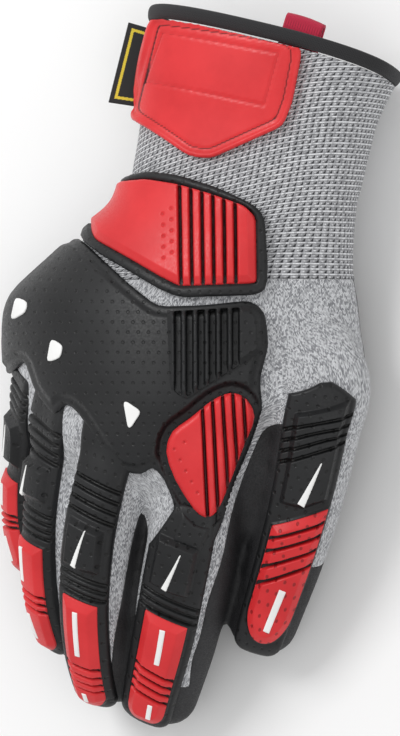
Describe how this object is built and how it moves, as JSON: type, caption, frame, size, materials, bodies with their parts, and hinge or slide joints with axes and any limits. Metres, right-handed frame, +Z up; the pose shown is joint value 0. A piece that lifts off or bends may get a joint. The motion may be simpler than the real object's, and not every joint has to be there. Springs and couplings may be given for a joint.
{
  "type": "impact glove",
  "caption": "right-hand knit work glove with a coated palm, black rubber guards and red ribbed pads on its back, lying palm down",
  "frame": {"origin": "middle of the glove's box, on the surface that it rests on", "axes": "+Y points to the cuff, -Y to the fingertips, +X to the thumb's side, +Z up out of the back of the hand"},
  "size_m": [0.1578, 0.2564, 0.0586],
  "materials": {
    "knit": "heather grey jersey knit",
    "waffle": "heather grey waffle knit",
    "coating": "sandy black dipped coating",
    "black_rubber": "satin moulded rubber with small pits",
    "red_rubber": "satin moulded rubber",
    "white_inlay": "smooth white",
    "hem": "black knitted binding",
    "webbing": "red ribbed webbing",
    "label": "woven satin label with a yellow frame"
  },
  "bodies": {
    "root": {"cuff_knit": "waffle", "hand_knit": "knit", "palm_coating": "coating", "index_coating": "coating", "cuff_hem": "hem", "hang_loop": "webbing", "side_label": "label", "cuff_patch": "red_rubber", "wrist_guard": "black_rubber", "wrist_pad": "red_rubber", "knuckle_guard": "black_rubber", "knuckle_pad": "red_rubber", "thumb_guard": "black_rubber", "index_pad": "red_rubber", "middle_pad": "red_rubber", "ring_pad": "red_rubber", "little_pad": "red_rubber", "thumb_pad": "red_rubber", "index_strip_1": "white_inlay", "index_strip_2": "white_inlay", "index_strip_3": "white_inlay", "middle_strip_1": "white_inlay", "middle_strip_2": "white_inlay", "middle_strip_3": "white_inlay", "ring_strip_1": "white_inlay", "ring_strip_2": "white_inlay", "ring_strip_3": "white_inlay", "little_strip_1": "white_inlay", "little_strip_2": "white_inlay", "little_strip_3": "white_inlay", "thumb_strip_1": "white_inlay", "thumb_strip_2": "white_inlay", "knuckle_insert_1": "white_inlay", "knuckle_insert_2": "white_inlay", "knuckle_insert_3": "white_inlay"}
  },
  "joints": []
}
